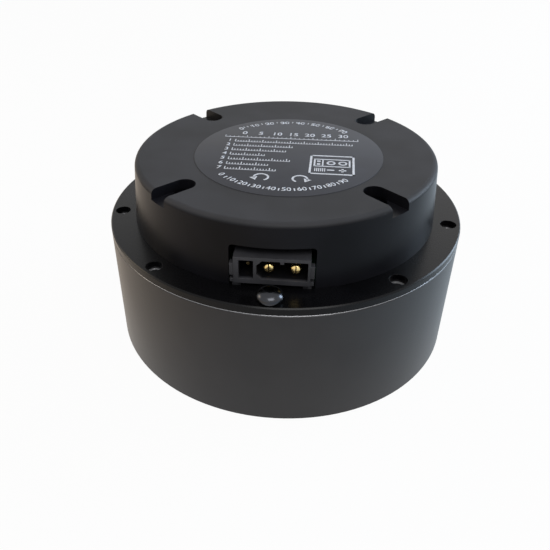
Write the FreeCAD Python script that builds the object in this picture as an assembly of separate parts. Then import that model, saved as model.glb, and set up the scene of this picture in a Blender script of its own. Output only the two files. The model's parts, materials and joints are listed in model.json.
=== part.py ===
import FreeCAD, Part
import math
import os

# Joint actuator: a flat brushless motor, a planetary gear set inside its rotor, and a driver
# under the rear cap. Millimetres, +Z up. The origin is on the main axis at the output face,
# the rear cap is on top and the connector looks towards -Y.

# ---- Overall sizes ----
output_proud = 1.0
flange_thick = 1.6
cap_height = 13.4

# ---- Motor housing ----
shell_wall = 4.45
front_wall = 4.0
front_chamfer = 0.3
joint_chamfer = 0.35
front_hole_spacing = 52.2
front_hole_depth = 6.0
stator_shoulder = 1.2
hub_tube_wall = 1.6
m3_tap_r = 1.25
m4_tap_r = 1.65
m25_tap_r = 1.05
tap_gap = 0.02

# ---- Output bearing and its retainer ----
bearing_pitch_r = 23.5
race_thick = 3.0
bearing_width = 5.5
race_gap = 0.5
roller_dia = 2.6
roller_length = 2.4
roller_clearance = 0.03
roller_count = 20
bearing_boss_wall = 2.1
retainer_land = 3.5
retainer_thick = 1.6
retainer_face_gap = 0.5
retainer_screw_inset = 2.0
retainer_screw_count = 6
retainer_first_screw = 30.0
m2_tap_r = 0.8
m2_head_r = 1.9
m2_head_height = 1.0
m2_length = 4.0

# ---- Planetary gears ----
gear_module = 0.5
pressure_angle = 25.0
sun_teeth = 12
planet_teeth = 33
planet_count = 3
gear_backlash = 0.05
tooth_height_above = 1.0
tooth_height_below = 1.25
planet_width = 8.0
planet_side_gap = 0.4
planet_pin_r = 2.0
bush_wall = 1.0
bush_running_gap = 0.03
bush_overhang = 0.2
ring_gear_rim = 1.475
ring_gear_lip = 0.6
ring_gear_extra = 0.4

# ---- Output flange and carrier ----
output_face_inset = 1.1
output_plate_thick = 8.6
output_bolt_inset = 3.5
output_bolt_count = 8
output_first_bolt = 22.5
output_bolt_depth = 6.5
output_dowel_r = 2.0
output_dowel_depth = 5.0
pilot_r = 6.0
pilot_depth = 2.5
pillar_circle_r = 14.5
pillar_r = 3.0
carrier_plate_thick = 2.6
carrier_plate_r = 18.6
carrier_plate_bore_r = 4.2
planet_pin_depth = 4.6
m25_head_r = 2.25
m25_clear_r = 1.35
carrier_screw_length = 8.0
carrier_screw_head = 1.3

# ---- Rotor ----
air_gap = 0.4
magnet_thick = 1.5
magnet_count = 28
magnet_spacing = 0.5
magnet_height = 11.5
rotor_ring_wall = 1.4
rotor_web = 1.4
rotor_dish_drop = 2.9
rotor_dish_r = 12.5
sun_shaft_r = 2.5
sun_stub_r = 2.0
rotor_hub_r = 4.0
encoder_magnet_r = 3.0
encoder_magnet_thick = 1.9
rotor_plate_gap = 0.9
rotor_top_gap = 1.0
rotor_tube_gap = 0.8
rotor_ring_drop = 1.3

# ---- Small bearings ----
front_bearing_r = 4.5
front_bearing_width = 4.0
rear_bearing_r = 8.0
rear_bearing_width = 4.0
inner_ring_wall = 0.8
shield_gap = 0.1
rear_boss_wall = 2.0
rear_boss_lip = 0.4

# ---- Stator ----
slot_count = 24
stator_yoke = 2.5
stator_height = 9.0
stator_seat_height = 7.0
tooth_width = 3.4
tooth_tip_half_angle = 5.6
tooth_tip_depth = 0.7
tooth_tip_slope = 0.6
stator_depth = 7.5
coil_thick = 1.5
coil_overhang = 2.2
coil_clear = 0.05
coil_radial_margin = 0.3
lead_r = 0.8
lead_hole_r = 1.6
lead_inset = 1.7
lead_angles = (70.0, 90.0, 110.0)

# ---- Rear flange ----
flange_hole_inset = 2.55
flange_hole_r = 1.7
flange_hole_count = 9
flange_first_hole = -90.0
flange_screw_angles = (-90.0, 30.0, 150.0)
flange_tap_depth = 6.0
flange_edge_chamfer = 0.25
pocket_depth = 1.0
pocket_floor = 2.5
register_gap = 0.05
pad_r = 3.2
pad_height = 0.5
dome_height = 2.5
dome_socket_r = 0.9
dome_socket_depth = 1.2

# ---- Driver board ----
board_gap = 0.5
board_thick = 1.2
sensor_side = 3.0
sensor_thick = 0.9
transistor_size = (5.0, 6.0, 1.0)
transistor_circle_r = 19.5
transistor_angles = (62.0, 90.0, 118.0, 146.0, 174.0, 202.0)
chip_side = 7.0
chip_circle_r = 14.0
chip_thick = 0.9
capacitor_r = 3.15
capacitor_height = 7.7
capacitor_pitch = 7.4
capacitor_count = 4
capacitor_row_y = 12.5

# ---- Connector ----
plug_half_width = 7.1
plug_lift = 0.2
plug_height = 5.7
plug_inset = 0.28
plug_depth = 14.0
plug_wall = 0.65
plug_floor = 1.05
plug_cavity_depth = 8.0
signal_cavity_x = (-6.1, -3.4)
power_cavity_x = (-2.8, 6.6)
power_cavity_chamfer = 1.0
power_key = (0.7, 0.5)
power_pin_r = 1.0
power_pin_pitch = 5.0
power_pin_recess = 0.65
power_pin_slit = 0.25
power_pin_slit_depth = 3.5
signal_pin_r = 0.32
signal_pin_pitch = 1.8
signal_pin_recess = 3.5
pin_tail = 1.5
plug_base_half_width = 7.8
plug_base_thick = 0.7
plug_base_depth = 6.0
plug_foot = (1.6, 0.8)
plug_foot_inset = 0.4
latch_rib = (0.75, 1.6, 2.6)
latch_rib_lift = 1.6

# ---- Rear cap ----
flange_step = 5.67
cap_foot_width = 2.18
cap_draft = 1.06
cap_wall = 1.8
cap_top_thick = 2.2
cap_edge_r = 1.2
cap_slot_width = 4.6
cap_slot_depth = 2.2
cap_slot_length = 6.32
cap_slot_first = 45.0
cap_slot_count = 4
cap_slot_floor = 1.5
cap_boss_wall = 1.5
counterbore_r = 2.5
counterbore_depth = 4.0
m25_head_height = 2.5
cap_screw_shank = 10.0
hex_socket_r = 1.15
hex_socket_depth = 1.3
window_half_width = 8.05
window_height = 8.5
window_corner_r = 0.8
label_r = 20.2
label_thick = 0.15
label_offset = (1.0, -2.0)

# ---- Small gaps, run-outs and overlaps ----
fuse_overlap = 0.1
level_match = 1e-6
hexagon_first = 30.0
ring_lip_gap = 0.4
inner_race_drop = 0.3
retainer_tap_run_out = 0.3
flange_tap_run_out = 0.5
carrier_tap_run_out = 0.4
countersunk_socket_depth = 0.6  # as a share of the head's height
countersunk_socket_width = 0.4  # as a share of the head's radius
output_chamfer = 0.4
output_dowel_angles = (0.0, 180.0)
pillar_root = 0.5
rear_bearing_lip = 1.1
lead_gap = 0.05
lead_past_board = 0.8
plug_base_setback = 0.3
plug_foot_setback = 0.6
latch_rib_root = 0.2
latch_rib_setback = 0.2
boss_inset = 1.0
column_wall = 0.4
rotor_slope_wall = 0.6
magnet_lift = 0.3
magnet_cut_over = 1.0
sun_teeth_over = 0.2
sun_stub_gap = 0.2

# ---- Levels and radii worked out from the sizes above ----
front_z = output_proud
wall_z = front_z + front_wall
bearing_z = front_z + retainer_thick
bearing_top_z = bearing_z + bearing_width
ring_lip_top_z = bearing_top_z + ring_gear_lip
boss_top_z = ring_lip_top_z + 0.7
bearing_outer_r = bearing_pitch_r + race_thick
bearing_bore_r = bearing_pitch_r - race_thick
retainer_r = bearing_outer_r + retainer_land
retainer_screw_circle_r = retainer_r - retainer_screw_inset
output_face_r = bearing_pitch_r - output_face_inset
output_bolt_circle_r = bearing_bore_r - output_bolt_inset
stator_z = wall_z + stator_seat_height
stator_top_z = stator_z + stator_height
ring_teeth = sun_teeth + 2 * planet_teeth
sun_pitch_r = gear_module * sun_teeth / 2
planet_pitch_r = gear_module * planet_teeth / 2
ring_pitch_r = gear_module * ring_teeth / 2
planet_circle_r = sun_pitch_r + planet_pitch_r
ring_root_r = ring_pitch_r + tooth_height_below * gear_module
ring_gear_r = ring_root_r + ring_gear_rim
hub_tube_r = ring_gear_r + hub_tube_wall
planet_z = output_plate_thick + planet_side_gap
planet_top_z = planet_z + planet_width
carrier_plate_z = planet_top_z + planet_side_gap
carrier_top_z = carrier_plate_z + carrier_plate_thick
hub_tube_top_z = carrier_top_z + 1.0
bush_r = planet_pin_r + bush_running_gap + bush_wall
rotor_dish_z = carrier_top_z + rotor_plate_gap
rotor_dish_top_z = rotor_dish_z + rotor_web
rotor_web_top_z = rotor_dish_top_z + rotor_dish_drop
rotor_web_z = rotor_web_top_z - rotor_web
rotor_ring_inner_r = hub_tube_r + rotor_tube_gap
rotor_ring_r = rotor_ring_inner_r + rotor_ring_wall
magnet_r = rotor_ring_r + magnet_thick
stator_bore_r = magnet_r + air_gap
stator_r = stator_bore_r + stator_depth
lead_circle_r = stator_bore_r + lead_inset
rotor_ring_z = stator_z - rotor_ring_drop
cavity_r = stator_r
stator_shoulder_r = cavity_r - stator_shoulder
housing_r = cavity_r + shell_wall
flange_hole_circle_r = housing_r - flange_hole_inset
dome_r = flange_hole_inset
cap_foot_r = housing_r - flange_step
cap_top_r = cap_foot_r - cap_draft
cap_screw_circle_r = cap_top_r - cap_slot_length
pocket_r = cap_foot_r - cap_foot_width
board_r = pocket_r - board_gap
plug_front_r = cap_foot_r - plug_inset
flange_floor_z = rotor_web_top_z + rotor_top_gap
pocket_z = flange_floor_z + pocket_floor
flange_top_z = pocket_z + pocket_depth
shell_top_z = flange_top_z - flange_thick
cap_top_z = flange_top_z + cap_height
rear_boss_z = rotor_dish_top_z + 0.5
rear_bearing_z = rear_boss_z + rear_boss_lip
hub_top_z = rear_bearing_z + rear_bearing_width + 0.2
encoder_magnet_z = hub_top_z - encoder_magnet_thick
front_bearing_z = output_plate_thick - front_bearing_width
board_z = pocket_z + pad_height
board_top_z = board_z + board_thick
coil_top_z = stator_top_z + coil_overhang
plug_z = board_top_z + plug_lift
plug_top_z = plug_z + plug_height
slot_floor_z = cap_top_z - cap_slot_depth
counterbore_z = slot_floor_z - counterbore_depth
cap_inner_top_z = cap_top_z - cap_top_thick


# ---- Shape helpers ----
def vec(x, y, z=0.0):
    return FreeCAD.Vector(x, y, z)


def polar(radius, degrees, z=0.0):
    angle = math.radians(degrees)
    return vec(radius * math.cos(angle), radius * math.sin(angle), z)


def disc(radius, low, high, centre=None):
    """An upright cylinder between two levels."""
    base = vec(0, 0) if centre is None else centre
    return Part.makeCylinder(radius, high - low, vec(base.x, base.y, low))


def ring(inner, outer, low, high):
    return disc(outer, low, high).cut(disc(inner, low, high))


def block(x_range, y_range, z_range):
    size = [high - low for low, high in (x_range, y_range, z_range)]
    return Part.makeBox(*size, vec(x_range[0], y_range[0], z_range[0]))


def turned(profile):
    """A solid of revolution about Z from its (radius, level) corners."""
    points = [vec(radius, 0, level) for radius, level in profile]
    face = Part.Face(Part.makePolygon(points + points[:1]))
    return face.revolve(vec(0, 0), vec(0, 0, 1), 360)


def turned_about(shape, degrees):
    copy = shape.copy()
    copy.rotate(vec(0, 0), vec(0, 0, 1), degrees)
    return copy


def angles(count, first=0.0):
    return [first + 360.0 * step / count for step in range(count)]


def repeat(shape, degrees_list):
    return [turned_about(shape, degrees) for degrees in degrees_list]


def holes(radius, circle_r, degrees_list, low, high):
    return [disc(radius, low, high, polar(circle_r, degrees)) for degrees in degrees_list]


def hexagon(radius, low, high, centre):
    corners = [centre + polar(radius, degrees, low) for degrees in angles(6, hexagon_first)]
    face = Part.Face(Part.makePolygon(corners + corners[:1]))
    return face.extrude(vec(0, 0, high - low))


def save(name, shape):
    shape.exportStep(os.path.join("parts", name + ".step"))


# ---- Gear teeth ----
def involute(angle):
    return math.tan(angle) - angle


def tooth_half_angle(radius, pitch_r, half_at_pitch):
    """Half the angle that a tooth fills at this radius, for an involute flank."""
    base_r = pitch_r * math.cos(math.radians(pressure_angle))
    if radius <= base_r:
        return half_at_pitch + involute(math.radians(pressure_angle))
    flank = math.acos(base_r / radius)
    return half_at_pitch + involute(math.radians(pressure_angle)) - involute(flank)


def tooth_outline(teeth, pitch_r, root_r, tip_r, half_at_pitch):
    """A closed face with involute flanks: each flank is an arc through three points of the involute."""
    base_r = pitch_r * math.cos(math.radians(pressure_angle))
    start_r = max(root_r, base_r)
    middle_r = (start_r + tip_r) / 2
    root_half = math.degrees(tooth_half_angle(start_r, pitch_r, half_at_pitch))
    middle_half = math.degrees(tooth_half_angle(middle_r, pitch_r, half_at_pitch))
    tip_half = math.degrees(tooth_half_angle(tip_r, pitch_r, half_at_pitch))
    pitch = 360.0 / teeth
    edges = []
    for centre in angles(teeth):
        root_in = polar(root_r, centre - root_half)
        flank_in = polar(start_r, centre - root_half)
        tip_in = polar(tip_r, centre - tip_half)
        tip_out = polar(tip_r, centre + tip_half)
        flank_out = polar(start_r, centre + root_half)
        root_out = polar(root_r, centre + root_half)
        root_next = polar(root_r, centre + pitch - root_half)
        if root_r < base_r:
            edges.append(Part.LineSegment(root_in, flank_in))
        edges.append(Part.Arc(flank_in, polar(middle_r, centre - middle_half), tip_in))
        edges.append(Part.Arc(tip_in, polar(tip_r, centre), tip_out))
        edges.append(Part.Arc(tip_out, polar(middle_r, centre + middle_half), flank_out))
        if root_r < base_r:
            edges.append(Part.LineSegment(flank_out, root_out))
        edges.append(Part.Arc(root_out, polar(root_r, centre + pitch / 2), root_next))
    return Part.Face(Part.Wire([edge.toShape() for edge in edges]))


def outer_gear(teeth, low, high):
    pitch_r = gear_module * teeth / 2
    half = math.pi / (2 * teeth) - gear_backlash / (4 * pitch_r)
    face = tooth_outline(
        teeth,
        pitch_r,
        pitch_r - tooth_height_below * gear_module,
        pitch_r + tooth_height_above * gear_module,
        half,
    )
    face.translate(vec(0, 0, low))
    return face.extrude(vec(0, 0, high - low))


# ---- Housing body ----
def motor_housing():
    body = turned([
        (retainer_r, front_z),
        (housing_r - front_chamfer, front_z),
        (housing_r, front_z + front_chamfer),
        (housing_r, shell_top_z - joint_chamfer),
        (housing_r - joint_chamfer, shell_top_z),
        (cavity_r, shell_top_z),
        (cavity_r, stator_z),
        (stator_shoulder_r, stator_z),
        (stator_shoulder_r, wall_z),
        (bearing_outer_r + bearing_boss_wall, wall_z),
        (bearing_outer_r + bearing_boss_wall, boss_top_z),
        (hub_tube_r, boss_top_z),
        (hub_tube_r, hub_tube_top_z),
        (ring_gear_r, hub_tube_top_z),
        (ring_gear_r, ring_lip_top_z),
        (bearing_bore_r + ring_lip_gap, ring_lip_top_z),
        (bearing_bore_r + ring_lip_gap, bearing_top_z),
        (bearing_outer_r, bearing_top_z),
        (bearing_outer_r, bearing_z),
        (retainer_r, bearing_z),
    ])
    half = front_hole_spacing / 2
    cuts = [
        disc(m3_tap_r, front_z, front_z + front_hole_depth, vec(x, y))
        for x in (-half, half)
        for y in (-half, half)
    ]
    cuts += holes(
        m3_tap_r,
        flange_hole_circle_r,
        angles(flange_hole_count, flange_first_hole),
        shell_top_z - flange_tap_depth,
        shell_top_z,
    )
    cuts += holes(
        m2_tap_r,
        retainer_screw_circle_r,
        angles(retainer_screw_count, retainer_first_screw),
        bearing_z,
        front_z + m2_length + retainer_tap_run_out,
    )
    return body.cut(cuts)


def countersunk_screw(head_r, head_height, shank_r, length, centre, top, downwards):
    """A flat-head screw whose face is at level top; its shank runs down or up from there."""
    sense = -1 if downwards else 1
    head = Part.makeCone(head_r, shank_r, head_height, vec(centre.x, centre.y, top), vec(0, 0, sense))
    shank = Part.makeCylinder(shank_r, length, vec(centre.x, centre.y, top), vec(0, 0, sense))
    low, high = sorted((top, top + sense * head_height * countersunk_socket_depth))
    return head.fuse(shank).cut(hexagon(head_r * countersunk_socket_width, low, high, centre)).removeSplitter()


def countersink(head_r, head_height, shank_r, depth, centre, top, downwards):
    sense = -1 if downwards else 1
    head = Part.makeCone(head_r, shank_r, head_height, vec(centre.x, centre.y, top), vec(0, 0, sense))
    hole = Part.makeCylinder(shank_r, depth, vec(centre.x, centre.y, top), vec(0, 0, sense))
    return head.fuse(hole)


def retainer_screw_centres():
    screw_angles = angles(retainer_screw_count, retainer_first_screw)
    return [polar(retainer_screw_circle_r, degrees) for degrees in screw_angles]


def bearing_retainer():
    plate = ring(output_face_r + retainer_face_gap, retainer_r - register_gap, front_z, bearing_z)
    seats = [
        countersink(m2_head_r, m2_head_height, m2_tap_r, retainer_thick, centre, front_z, False)
        for centre in retainer_screw_centres()
    ]
    return plate.cut(seats)


def retainer_screws():
    return [
        countersunk_screw(
            m2_head_r - tap_gap, m2_head_height, m2_tap_r - tap_gap, m2_length, centre, front_z, False
        )
        for centre in retainer_screw_centres()
    ]


def race_groove_depth():
    return (roller_dia / 2 + roller_clearance) * math.sqrt(2)


def output_bearing_outer_race():
    middle_z = bearing_z + bearing_width / 2
    face_r = bearing_pitch_r + race_gap / 2
    groove = race_groove_depth()
    open_half = groove - race_gap / 2
    return turned([
        (face_r, bearing_z),
        (bearing_outer_r, bearing_z),
        (bearing_outer_r, bearing_top_z),
        (face_r, bearing_top_z),
        (face_r, middle_z + open_half),
        (bearing_pitch_r + groove, middle_z),
        (face_r, middle_z - open_half),
    ])


def output_bearing_inner_race():
    middle_z = bearing_z + bearing_width / 2
    face_r = bearing_pitch_r - race_gap / 2
    groove = race_groove_depth()
    open_half = groove - race_gap / 2
    top = bearing_top_z - inner_race_drop
    return turned([
        (bearing_bore_r, bearing_z),
        (face_r, bearing_z),
        (face_r, middle_z - open_half),
        (bearing_pitch_r - groove, middle_z),
        (face_r, middle_z + open_half),
        (face_r, top),
        (bearing_bore_r, top),
    ])


def output_bearing_rollers():
    """Crossed rollers: each leans 45 degrees, the next one the other way."""
    rollers = []
    for step, degrees in enumerate(angles(roller_count)):
        lean = 1 if step % 2 else -1
        axis = vec(1, 0, lean).normalize()
        centre = vec(bearing_pitch_r, 0, bearing_z + bearing_width / 2)
        start = centre - axis * (roller_length / 2)
        roller = Part.makeCylinder(roller_dia / 2, roller_length, start, axis)
        rollers.append(turned_about(roller, degrees))
    return rollers


def ring_gear():
    low = ring_lip_top_z
    high = planet_top_z + ring_gear_extra
    tip_r = ring_pitch_r - tooth_height_above * gear_module
    half = math.pi / (2 * ring_teeth) + gear_backlash / (4 * ring_pitch_r)
    opening = tooth_outline(ring_teeth, ring_pitch_r, tip_r, ring_root_r, half)
    opening.translate(vec(0, 0, low))
    return disc(ring_gear_r, low, high).cut(opening.extrude(vec(0, 0, high - low)))


def stator_opening():
    """The bore and slots of the stator as one face, tooth after tooth."""
    yoke_r = stator_r - stator_yoke
    neck_r = stator_bore_r + tooth_tip_depth + tooth_tip_slope
    shoe_r = stator_bore_r + tooth_tip_depth
    neck_half = math.degrees(math.asin(tooth_width / 2 / neck_r))
    yoke_half = math.degrees(math.asin(tooth_width / 2 / yoke_r))
    pitch = 360.0 / slot_count
    edges = []
    for centre in angles(slot_count):
        before, after = centre - tooth_tip_half_angle, centre + tooth_tip_half_angle
        path = [
            polar(yoke_r, centre - yoke_half),
            polar(neck_r, centre - neck_half),
            polar(shoe_r, before),
            polar(stator_bore_r, before),
        ]
        back = [
            polar(stator_bore_r, after),
            polar(shoe_r, after),
            polar(neck_r, centre + neck_half),
            polar(yoke_r, centre + yoke_half),
        ]
        edges += [Part.LineSegment(a, b) for a, b in zip(path, path[1:])]
        edges.append(Part.Arc(path[-1], polar(stator_bore_r, centre), back[0]))
        edges += [Part.LineSegment(a, b) for a, b in zip(back, back[1:])]
        next_start = polar(yoke_r, centre + pitch - yoke_half)
        edges.append(Part.Arc(back[-1], polar(yoke_r, centre + pitch / 2), next_start))
    return Part.Face(Part.Wire([edge.toShape() for edge in edges]))


def stator_core():
    opening = stator_opening()
    opening.translate(vec(0, 0, stator_z))
    return disc(stator_r, stator_z, stator_top_z).cut(opening.extrude(vec(0, 0, stator_height)))


def stator_windings():
    inner_r = stator_bore_r + tooth_tip_depth + tooth_tip_slope + coil_radial_margin
    outer_r = stator_r - stator_yoke - coil_radial_margin
    inside = tooth_width / 2 + coil_clear
    outside = inside + coil_thick
    coil = block(
        (inner_r, outer_r), (-outside, outside), (stator_z - coil_overhang, coil_top_z)
    ).cut(
        block(
            (inner_r, outer_r), (-inside, inside), (stator_z - coil_clear, stator_top_z + coil_clear)
        )
    )
    return repeat(coil, angles(slot_count))


def phase_leads():
    return holes(lead_r, lead_circle_r, lead_angles, coil_top_z, board_top_z + lead_past_board)


def rear_flange():
    body = turned([
        (rear_bearing_r, pocket_z),
        (pocket_r, pocket_z),
        (pocket_r, flange_top_z),
        (housing_r - flange_edge_chamfer, flange_top_z),
        (housing_r, flange_top_z - flange_edge_chamfer),
        (housing_r, shell_top_z),
        (cavity_r - register_gap, shell_top_z),
        (cavity_r - register_gap, flange_floor_z),
        (rear_bearing_r + rear_boss_wall, flange_floor_z),
        (rear_bearing_r + rear_boss_wall, rear_boss_z),
        (rear_bearing_r - rear_bearing_lip, rear_boss_z),
        (rear_bearing_r - rear_bearing_lip, rear_bearing_z),
        (rear_bearing_r, rear_bearing_z),
    ])
    slot_angles = angles(cap_slot_count, cap_slot_first)
    body = body.fuse(holes(pad_r, cap_screw_circle_r, slot_angles, pocket_z, board_z))
    hole_angles = angles(flange_hole_count, flange_first_hole)
    cuts = holes(flange_hole_r, flange_hole_circle_r, hole_angles, shell_top_z, flange_top_z)
    cuts += holes(m25_tap_r, cap_screw_circle_r, slot_angles, flange_floor_z, board_z)
    cuts += holes(lead_hole_r, lead_circle_r, lead_angles, flange_floor_z, pocket_z)
    return body.cut(cuts)


def flange_screws():
    """Dome-head screws with a hexagon recess, seated on the flange."""
    screws = []
    sphere_r = (dome_r ** 2 + dome_height ** 2) / (2 * dome_height)
    for degrees in flange_screw_angles:
        centre = polar(flange_hole_circle_r, degrees)
        ball = Part.makeSphere(sphere_r, vec(centre.x, centre.y, flange_top_z + dome_height - sphere_r))
        head = ball.common(disc(dome_r, flange_top_z, flange_top_z + dome_height, centre))
        shank_low = shell_top_z - flange_tap_depth + flange_tap_run_out
        shank = disc(m3_tap_r - tap_gap, shank_low, flange_top_z + fuse_overlap, centre)
        top = flange_top_z + dome_height
        socket = hexagon(dome_socket_r, top - dome_socket_depth, top, centre)
        screws.append(head.fuse(shank).cut(socket).removeSplitter())
    return screws


def bearing_outer_ring(outer_r, bore_r, low, width):
    """A shielded bearing's outer ring with both shields, as one piece."""
    return ring(bore_r + inner_ring_wall + shield_gap, outer_r, low, low + width)


def bearing_inner_ring(bore_r, low, width):
    return ring(bore_r, bore_r + inner_ring_wall, low, low + width)


def driver_board():
    board = disc(board_r, board_z, board_top_z)
    cuts = holes(
        m25_clear_r, cap_screw_circle_r, angles(cap_slot_count, cap_slot_first), board_z, board_top_z
    )
    cuts += holes(lead_r + lead_gap, lead_circle_r, lead_angles, board_z, board_top_z)
    return board.cut(cuts)


def on_board(size, degrees, circle_r):
    length, width, height = size
    chip = block(
        (-length / 2, length / 2), (-width / 2, width / 2), (board_top_z, board_top_z + height)
    )
    chip.translate(polar(circle_r, 0))
    return turned_about(chip, degrees)


def power_transistors():
    return [
        on_board(transistor_size, degrees, transistor_circle_r)
        for degrees in transistor_angles
    ]


def bus_capacitors():
    span = capacitor_pitch * (capacitor_count - 1)
    return [
        disc(
            capacitor_r,
            board_top_z,
            board_top_z + capacitor_height,
            vec(-span / 2 + capacitor_pitch * step, -capacitor_row_y),
        )
        for step in range(capacitor_count)
    ]


def encoder_sensor():
    half = sensor_side / 2
    return block((-half, half), (-half, half), (board_z - sensor_thick, board_z))


def pin_centres():
    middle = sum(power_cavity_x) / 2
    z = (plug_z + plug_floor + plug_top_z - plug_wall) / 2
    power = [(middle + side * power_pin_pitch / 2, z) for side in (-1, 1)]
    signal_x = sum(signal_cavity_x) / 2
    signal = [(signal_x, z + side * signal_pin_pitch / 2) for side in (-1, 1)]
    return power, signal


def pin_blank(radius, recess, x, z):
    """A round pin from behind the connector's mouth to its tail behind the body."""
    front = -plug_front_r + recess
    length = plug_depth - recess + pin_tail
    return Part.makeCylinder(radius, length, vec(x, front, z), vec(0, 1, 0))


def power_pins():
    pins = []
    for x, z in pin_centres()[0]:
        front = -plug_front_r + power_pin_recess
        slit = block(
            (x - power_pin_slit / 2, x + power_pin_slit / 2),
            (front, front + power_pin_slit_depth),
            (z - power_pin_r, z + power_pin_r),
        )
        pins.append(pin_blank(power_pin_r, power_pin_recess, x, z).cut(slit))
    return pins


def signal_pins():
    return [pin_blank(signal_pin_r, signal_pin_recess, x, z) for x, z in pin_centres()[1]]


def power_cavity():
    """The power side's mouth: chamfered at its left corners, with a key at the top."""
    left, right = power_cavity_x
    low, high = plug_z + plug_floor, plug_top_z - plug_wall
    cut = power_cavity_chamfer
    key_x = (left + right) / 2
    half, drop = power_key[0] / 2, power_key[1]
    corners = [
        (left + cut, low),
        (right, low),
        (right, high),
        (key_x + half, high),
        (key_x + half, high - drop),
        (key_x - half, high - drop),
        (key_x - half, high),
        (left + cut, high),
        (left, high - cut),
        (left, low + cut),
    ]
    points = [vec(x, -plug_front_r, z) for x, z in corners]
    face = Part.Face(Part.makePolygon(points + points[:1]))
    return face.extrude(vec(0, plug_cavity_depth, 0))


def connector_housing():
    front = -plug_front_r
    body = block(
        (-plug_half_width, plug_half_width), (front, front + plug_depth), (plug_z, plug_top_z)
    )
    base = block(
        (-plug_base_half_width, plug_base_half_width),
        (front + plug_base_setback, front + plug_base_depth),
        (plug_z, plug_z + plug_base_thick),
    )
    seat = block(
        (-plug_half_width, plug_half_width),
        (front + plug_base_depth, front + plug_depth),
        (board_top_z, plug_z),
    )
    rib_out, rib_length, rib_height = latch_rib
    rib_z = plug_z + latch_rib_lift
    extras = [base, seat]
    for side in (-1, 1):
        inner, outer = side * (plug_half_width - latch_rib_root), side * (plug_half_width + rib_out)
        extras.append(
            block(
                sorted((inner, outer)),
                (front + latch_rib_setback, front + rib_length),
                (rib_z, rib_z + rib_height),
            )
        )
        foot_in = side * (plug_base_half_width - plug_foot_inset - plug_foot[0])
        foot_out = side * (plug_base_half_width - plug_foot_inset)
        extras.append(
            block(
                sorted((foot_in, foot_out)),
                (front + plug_foot_setback, front + plug_foot_setback + plug_foot[1]),
                (flange_top_z, plug_z + plug_base_thick / 2),
            )
        )
    signal = block(
        signal_cavity_x,
        (front, front + plug_cavity_depth),
        (plug_z + plug_floor, plug_top_z - plug_wall),
    )
    pins = [pin_blank(power_pin_r, power_pin_recess, x, z) for x, z in pin_centres()[0]]
    pins += signal_pins()
    return body.fuse(extras).cut([signal, power_cavity()] + pins).removeSplitter()


def slot_cut():
    """One slot in the cap, along +X: open at the rim, round at its inner end."""
    low, high = slot_floor_z, cap_top_z + 1
    half = cap_slot_width / 2
    path = block((cap_screw_circle_r, housing_r), (-half, half), (low, high))
    return path.fuse(disc(half, low, high, polar(cap_screw_circle_r, 0)))


def slot_boss():
    """The floor, sides and screw column under one slot, along +X."""
    half = cap_slot_width / 2 + cap_boss_wall
    low = slot_floor_z - cap_slot_floor
    high = cap_top_z - boss_inset
    floor = block((cap_screw_circle_r, cap_top_r - boss_inset), (-half, half), (low, high))
    end = disc(half, low, high, polar(cap_screw_circle_r, 0))
    column = disc(pad_r + column_wall, board_top_z, high, polar(cap_screw_circle_r, 0))
    return floor.fuse([end, column])


def window_cut():
    """The connector's opening in the cap's wall, with round upper corners."""
    back = -plug_front_r + plug_base_depth
    opening = block(
        (-window_half_width, window_half_width),
        (-housing_r, back),
        (flange_top_z, flange_top_z + window_height),
    )
    upper = [
        edge
        for edge in opening.Edges
        if abs(edge.BoundBox.ZMin - flange_top_z - window_height) < level_match
        and edge.BoundBox.XLength < level_match
    ]
    return opening.makeFillet(window_corner_r, upper)


def rear_cap():
    outer = Part.makeCone(cap_foot_r, cap_top_r, cap_height, vec(0, 0, flange_top_z))
    rim = [edge for edge in outer.Edges if abs(edge.BoundBox.ZMin - cap_top_z) < level_match]
    rim = [edge for edge in rim if abs(edge.BoundBox.ZMax - cap_top_z) < level_match]
    outer = outer.makeFillet(cap_edge_r, rim)
    inside = Part.makeCone(
        cap_foot_r - cap_wall,
        cap_top_r - cap_wall,
        cap_inner_top_z - flange_top_z,
        vec(0, 0, flange_top_z),
    )
    slots = angles(cap_slot_count, cap_slot_first)
    shell = outer.cut(inside)
    bosses = [boss.common(outer) for boss in repeat(slot_boss(), slots)]
    shell = shell.fuse(bosses)
    cuts = repeat(slot_cut(), slots)
    cuts += holes(counterbore_r, cap_screw_circle_r, slots, counterbore_z, slot_floor_z)
    cuts += holes(m25_clear_r, cap_screw_circle_r, slots, board_top_z, counterbore_z)
    cuts.append(window_cut())
    return shell.cut(cuts).removeSplitter()


def cap_screws():
    """Socket-head screws in the counterbores at the slots' inner ends."""
    screws = []
    for degrees in angles(cap_slot_count, cap_slot_first):
        centre = polar(cap_screw_circle_r, degrees)
        top = counterbore_z + m25_head_height
        head = disc(m25_head_r, counterbore_z, top, centre)
        shank = disc(m25_tap_r - tap_gap, counterbore_z - cap_screw_shank, counterbore_z + fuse_overlap, centre)
        socket = hexagon(hex_socket_r, top - hex_socket_depth, top, centre)
        screws.append(head.fuse(shank).cut(socket).removeSplitter())
    return screws


def label_disc():
    """A round film stuck on the cap, not quite on the main axis."""
    return disc(label_r, cap_top_z, cap_top_z + label_thick, vec(*label_offset))


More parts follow.
